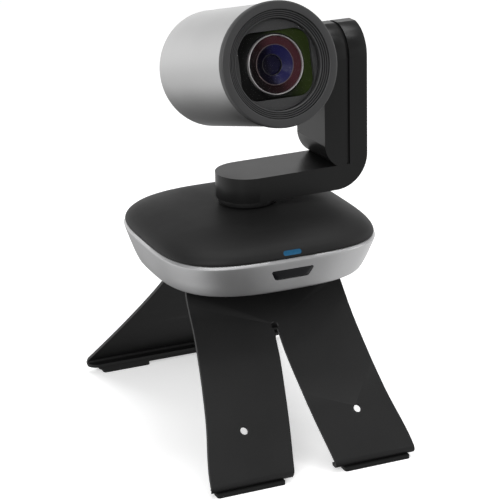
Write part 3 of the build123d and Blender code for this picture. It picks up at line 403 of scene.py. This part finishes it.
def round_poly(pts, radii, seg=8):
    """2D outline with rounded corners as a list of points."""
    out = []
    n = len(pts)
    for i in range(n):
        p0, p1, p2 = Vector(pts[i - 1]), Vector(pts[i]), Vector(pts[(i + 1) % n])
        r = radii[i] if isinstance(radii, (list, tuple)) else radii
        if r <= 0:
            out.append(tuple(p1))
            continue
        a, c = (p0 - p1).normalized(), (p2 - p1).normalized()
        half = math.acos(max(-1, min(1, a.dot(c)))) / 2
        d = r / math.tan(half)
        cen = p1 + (a + c).normalized() * (r / sin(half))
        s, e = p1 + a * d, p1 + c * d
        v0, v1 = s - cen, e - cen
        ang = math.atan2(v0.x * v1.y - v0.y * v1.x, v0.dot(v1))
        for k in range(seg + 1):
            t = ang * k / seg
            out.append((cen.x + v0.x * cos(t) - v0.y * sin(t), cen.y + v0.x * sin(t) + v0.y * cos(t)))
    return out


def prism(name, outline, lo, hi, axis, xf=BASEM):
    """Outline swept along an axis: axis 'y' takes (x, z) points, 'x' takes (y, z), 'z' takes (x, y)."""
    f = {"y": lambda p, t: (p[0], t, p[1]), "x": lambda p, t: (t, p[0], p[1]), "z": lambda p, t: (p[0], p[1], t)}[axis]
    n = len(outline)
    verts = [f(p, lo) for p in outline] + [f(p, hi) for p in outline]
    faces = [tuple(range(n)), tuple(range(2 * n - 1, n - 1, -1))]
    faces += [(i, (i + 1) % n, n + (i + 1) % n, n + i) for i in range(n)]
    return plain(name, verts, faces, xf)


def piece(ob, mat, body, repl=(), bevel=0.0, seg=3, angle=32.0, sharp=30.0):
    """Finish a plain solid as a visible piece, with its edges rounded."""
    if bevel:
        md = ob.modifiers.new("edge", "BEVEL")
        md.width = bevel / 1000.0
        md.segments = seg
        md.limit_method = "ANGLE"
        md.angle_limit = radians(angle)
        md.use_clamp_overlap = True
        md.harden_normals = False
        bpy.context.view_layer.update()
        dg = bpy.context.evaluated_depsgraph_get()
        me = bpy.data.meshes.new_from_object(ob.evaluated_get(dg))
        ob.modifiers.clear()
        old = ob.data
        ob.data = me
        bpy.data.meshes.remove(old)
    for p in ob.data.polygons:
        p.use_smooth = True
    ob.data.set_sharp_from_angle(angle=radians(sharp))
    ob.data.materials.clear()
    ob.data.materials.append(M[mat])
    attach(ob, body)
    if repl:
        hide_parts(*repl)
    wn = ob.modifiers.new("wn", "WEIGHTED_NORMAL")
    wn.keep_sharp = True
    return ob


# ---------------------------------------------------- base: cover and body
COVER = [(62.95, 3.56, 20.47), (63.4, 3.56, 21.2), (62.8, 3.54, 23.0), (61.2, 3.50, 25.1),
         (57.7, 3.40, 27.8), (51.3, 3.30, 30.6), (44.9, 3.15, 32.25),
         (38.5, 3.00, 33.1), (30.0, 2.70, 33.6), (21.0, 2.30, 33.85)]
outer = catmull(COVER, 6)
outer = [(61.4, 3.5, 20.47)] + outer + [(12.5, 2.0, 33.9)]
inner = [(60.2, 3.5, 20.9), (59.0, 3.5, 24.0), (54.5, 3.35, 26.6), (43.0, 3.1, 30.2), (29.0, 2.6, 31.7), (12.5, 2.0, 31.9)]
cover = se_shell("cover_shell", outer, inner, "charcoal_cover", "base", ("base_top_cover",), 224)
led_cut = prism("led_cut", round_poly([(-5.4, 21.75), (5.4, 21.75), (5.4, 24.45), (-5.4, 24.45)], 1.3), -66, -57.5, "y")
bool_cut(cover, [led_cut])

BODY = [(57.5, 2.94, 0.05), (58.5, 2.97, 0.35), (59.3, 3.00, 1.5), (60.7, 3.15, 5.5), (62.0, 3.28, 10.0),
        (63.1, 3.42, 14.2), (63.9, 3.52, 17.4), (64.08, 3.57, 18.5), (64.0, 3.57, 18.75), (63.2, 3.56, 20.05)]
ob_ = catmull(BODY[:8], 4) + [(64.06, 3.575, 18.72), (63.95, 3.57, 18.86), (63.28, 3.56, 19.98), (63.1, 3.56, 20.08)]
inn = [(55.6, 2.92, 0.1), (57.2, 3.0, 1.6), (59.8, 3.28, 10.0), (61.4, 3.5, 17.0), (61.5, 3.55, 20.05)]
body_shell = se_shell("body_shell", ob_, inn, "silver_body", "base", ("base_lower_body",), 224)
ir_cut = prism("ir_cut", round_poly([(-12.95, 14.1), (12.95, 14.1), (9.9, 8.0), (-9.9, 8.0)], [1.0, 1.0, 2.4, 2.4]), -70, -50, "y")
port_cut = prism("port_cut", round_poly([(-27, 4.4), (27, 4.4), (27, 17.2), (-27, 17.2)], 2.0), 50, 70, "y")
bool_cut(body_shell, [ir_cut, port_cut])

# ------------------------------------------------------------------- head
HR, RR = 33.1, 33.87
prof = [(31.0, -43.9), (32.75, -43.9), (32.95, -43.83), (33.08, -43.65), (33.1, -43.4), (33.1, 30), (33.1, 42.4)]
for k in range(1, 13):
    t = pi / 2 * k / 13
    prof.append((HR - 5.5 + 5.5 * cos(t), 42.6 + 5.2 * sin(t)))
prof += [(HR - 6.4, 47.83), (20, 47.88), (14, 47.94), (7, 48.0), (0, 48.02), (0, 45.8), (26.4, 45.3), (29.58, 43.98), (30.9, 40.8)]
shell_ob = lathe("barrel_shell", prof, "silver_barrel", "head", ("head_shell",), segs=224)

steps = [(RR - 1.0, -48.8), (RR - 0.55, -48.7), (RR - 0.18, -48.42), (RR, -47.95), (RR, -44.9), (RR - 0.2, -44.55),
         (RR - 0.5, -44.35), (31.6, -44.32), (31.6, -44.02), (30.6, -44.0), (30.6, -38.0), (25.2, -38.0), (25.2, -43.4), (24.7, -43.5),
         (24.7, -46.25), (24.85, -46.42)]
ns = 4
cone = []
R0, R1, Y0, Y1 = 29.1, 24.9, -48.45, -46.45
pw = (R0 - R1) / ns
for i in range(ns):
    ra = R1 + pw * i
    ya = Y1 + (Y0 - Y1) * i / ns
    cone += [(ra + 0.02, ya - 0.02), (ra + 0.08, ya - 0.10), (ra + pw * 0.50, ya - 0.16), (ra + pw * 0.56, ya - 0.08),
             (ra + pw * 0.60, ya + 1.30), (ra + pw * 0.94, ya + 1.26)]
cone += [(R0 + 0.1, -48.62), (R0 + 0.3, -48.76), (R0 + 0.5, -48.8), (31.0, -48.8)]
ring_ob = lathe("front_ring", steps + cone, "ring_black", "head", ("head_front_ring",), segs=256, sharp=25)

win = lathe("window_disc", [(0, -46.1), (23.6, -46.1), (24.0, -45.95), (24.3, -45.6), (24.3, -44.0), (0, -44.0)], "window_glass",
            "head", ("front_window",), segs=160)

# baffle: plate with a rounded-square mouth and short inner walls
mouth = []
corners = round_poly([(-21.4, -18.2), (21.4, -18.2), (21.4, 18.2), (-21.4, 18.2)], 9.5, 12)
for i, q in enumerate(corners):
    nx = corners[(i + 1) % len(corners)]
    k = max(1, int(math.dist(q, nx) / 1.2))
    mouth += [(q[0] + (nx[0] - q[0]) * t / k, q[1] + (nx[1] - q[1]) * t / k) for t in range(k)]


def ring_plate(name, mouth, r, y0, y1, mat, xf=HEADM):
    n = len(mouth)
    ang = [math.atan2(q[1], q[0]) for q in mouth]
    circ = [(r * cos(a), r * sin(a)) for a in ang]
    verts = [(q[0], y0, q[1]) for q in mouth] + [(q[0], y0, q[1]) for q in circ] + \
            [(q[0], y1, q[1]) for q in mouth] + [(q[0], y1, q[1]) for q in circ]
    f = []
    for i in range(n):
        j = (i + 1) % n
        f += [(i, j, n + j, n + i), (2 * n + i, 3 * n + i, 3 * n + j, 2 * n + j), (i, 2 * n + i, 2 * n + j, j),
              (n + i, n + j, 3 * n + j, 3 * n + i)]
    return plain(name, verts, f, xf)


bf = ring_plate("baffle_plate", mouth, 24.5, -43.35, -41.2, "ring_black")
piece(bf, "ring_black", "head", ("lens_baffle",), bevel=0.15, seg=2)
# dish behind the mouth, round the lens; its coat_outer colour, like the coat_* colours of the lens cells below, is
# partly a painted reflection
lathe("lens_dish", [(24.4, -41.1), (24.4, -40.9), (19.8, -40.6), (16.9, -41.9), (16.9, -42.5), (19.9, -41.15)], "coat_outer", "head", ())
lathe("lens_rim", [(15.6, -43.0), (15.68, -43.36), (15.8, -43.42), (15.92, -43.36), (16.0, -43.0), (16.0, -40.3), (15.6, -40.3)],
      "lens_ring", "head", ("lens_retaining_ring",))
lathe("front_glass", [(0, -43.62), (4, -43.6), (8, -43.5), (12, -43.3), (15.2, -42.95), (15.3, -42.6), (10, -43.0), (0, -43.2)], "lens_glass", "head",
      ("front_lens",))
lathe("cell_outer", [(15.3, -42.1), (11.15, -41.75), (11.0, -41.3), (15.3, -41.2)], "coat_maroon", "head", ("second_lens_cell",))
lathe("cell_edge", [(10.98, -41.72), (10.92, -41.86), (10.76, -41.9), (10.62, -41.84), (10.6, -41.6), (10.98, -41.4)], "cell_ring", "head", ())
lathe("cell_middle", [(10.6, -41.6), (5.9, -38.1), (5.9, -37.6), (10.9, -41.2)], "coat_blue", "head", ())
lathe("cell_inner_edge", [(5.88, -38.1), (5.8, -38.2), (5.65, -38.22), (5.52, -38.14), (5.5, -37.9), (5.88, -37.6)], "ring_black", "head", ())
lathe("core_lens", [(0, -37.3), (3, -37.15), (5.5, -36.7), (5.5, -36.2), (0, -36.4)], "coat_core", "head", ("second_lens",))
lathe("core_tube", [(5.5, -37.9), (5.5, -36.0), (15.4, -36.0), (15.4, -41.1), (11.0, -41.1), (5.95, -37.4)], "baffle_black", "head", ())

# -------------------------------------------------------------- carried CAD
slot_of = {s["node"]: s["material_slot"] for s in frame["record"]["subparts"]}
BEVEL = {"arm_outer_shell": 0.6, "arm_inner_housing": 1.0, "stand_bracket": 0.35, "pan_hub": 0.3, "arm_bottom_cover": 0.3,
         "front_pads": 0.5, "rear_pad": 0.5, "base_feet": 0.4, "ir_window": 0.2, "tripod_thumb_screw": 0.3, "base_bottom_plate": 0.3,
         "tilt_hub": 0.4, "port_panel": 0.2, "led_light_pipe": 0.3}
for nm, ob in NODES.items():
    me = ob.data
    me.materials.clear()
    # pan_hub and arm_bottom_cover use arm_black: black like the arm, and darker than their slot colour as painted shade
    # for the shadow under the arm
    me.materials.append(M["arm_black" if nm in ("pan_hub", "arm_bottom_cover") else slot_of[nm]])
    if nm in BEVEL:
        wl = ob.modifiers.new("weld", "WELD")
        wl.merge_threshold = 0.00001
        md = ob.modifiers.new("edge", "BEVEL")
        md.width = BEVEL[nm] / 1000.0
        md.segments = 3
        md.limit_method = "ANGLE"
        md.angle_limit = radians(35)
        md.use_clamp_overlap = True

# ------------------------------------------------------------------- stage
me = bpy.data.meshes.new("floor")
bm = bmesh.new()
bmesh.ops.create_grid(bm, x_segments=8, y_segments=8, size=6.0)
bm.to_mesh(me)
bm.free()
floor = bpy.data.objects.new("floor", me)
bpy.context.scene.collection.objects.link(floor)
mt, nt, b, tc = new_mat("floor_pale")
n = noise(nt, tc, 3, 2.0)
c = ramp(nt, n.outputs["Fac"], [(0.3, (0.93, 0.93, 0.93)), (0.7, (0.95, 0.95, 0.95))])
nt.links.new(c.outputs["Color"], b.inputs["Base Color"])
b.inputs["Roughness"].default_value = 0.9
me.materials.append(mt)
b.inputs["Emission Color"].default_value = (1.0, 1.0, 1.0, 1.0)
b.inputs["Emission Strength"].default_value = 0.45
floor.visible_glossy = False
floor.visible_diffuse = False

world = bpy.data.worlds.new("studio")
bpy.context.scene.world = world
world.use_nodes = True
wt = world.node_tree
bg = wt.nodes["Background"]
wtc = wt.nodes.new("ShaderNodeTexCoord")
wsep = wt.nodes.new("ShaderNodeSeparateXYZ")
wt.links.new(wtc.outputs["Generated"], wsep.inputs["Vector"])


def wmap(sock, a, b_, lo_, hi_):
    n_ = wt.nodes.new("ShaderNodeMapRange")
    n_.interpolation_type = "SMOOTHSTEP"
    n_.inputs["From Min"].default_value = a
    n_.inputs["From Max"].default_value = b_
    n_.inputs["To Min"].default_value = lo_
    n_.inputs["To Max"].default_value = hi_
    wt.links.new(sock, n_.inputs["Value"])
    return n_.outputs["Result"]


def wmath(op, x, y=None):
    n_ = wt.nodes.new("ShaderNodeMath")
    n_.operation = op
    for i_, v_ in enumerate((x, y)):
        if v_ is None:
            continue
        if isinstance(v_, (int, float)):
            n_.inputs[i_].default_value = v_
        else:
            wt.links.new(v_, n_.inputs[i_])
    return n_.outputs[0]


# studio surround: dim below, a bright band just above the horizon, softer overhead, pale cards low on both sides
band = wmath("MULTIPLY", wmap(wsep.outputs["Z"], -0.72, 0.02, 0.0, 1.0), wmap(wsep.outputs["Z"], 0.12, 0.55, 1.0, 0.0))
band = wmath("MULTIPLY", band, wmap(wsep.outputs["Y"], -0.35, 0.45, 0.42, 1.0))
overhead = wmap(wsep.outputs["Z"], 0.10, 0.80, 0.0, 0.20)
cards = wmath("MULTIPLY", wmap(wmath("ABSOLUTE", wsep.outputs["X"]), 0.28, 0.62, 0.0, 1.0),
              wmap(wsep.outputs["Z"], -0.45, -0.20, 1.0, 0.0))
total = wmath("ADD", wmath("MULTIPLY", band, 1.15), overhead)
total = wmath("ADD", total, wmath("MULTIPLY", cards, 0.78))
total = wmath("ADD", total, 0.06)
wt.links.new(total, bg.inputs["Strength"])
bg.inputs["Color"].default_value = (1.0, 1.0, 1.0, 1)


def area(name, loc, target, size, power, size_y=None):
    li = bpy.data.lights.new(name, "AREA")
    li.energy = power
    li.size = size
    if size_y:
        li.shape = "RECTANGLE"
        li.size_y = size_y
    o = bpy.data.objects.new(name, li)
    bpy.context.scene.collection.objects.link(o)
    o.location = loc
    d = Vector(target) - Vector(loc)
    o.rotation_euler = d.to_track_quat("-Z", "Y").to_euler()
    return o


TGT = (0.0, 0.0, 0.15)
area("key", (-0.9, -1.1, 1.0), TGT, 0.8, 11, 0.8)
area("top", (0.1, 0.1, 1.5), TGT, 1.0, 11, 1.0)
area("edge_light", (0.43, -0.41, 1.2), TGT, 0.22, 0.9, 0.22)
area("right_fill", (1.3, -0.5, 0.6), TGT, 0.4, 4, 1.0)
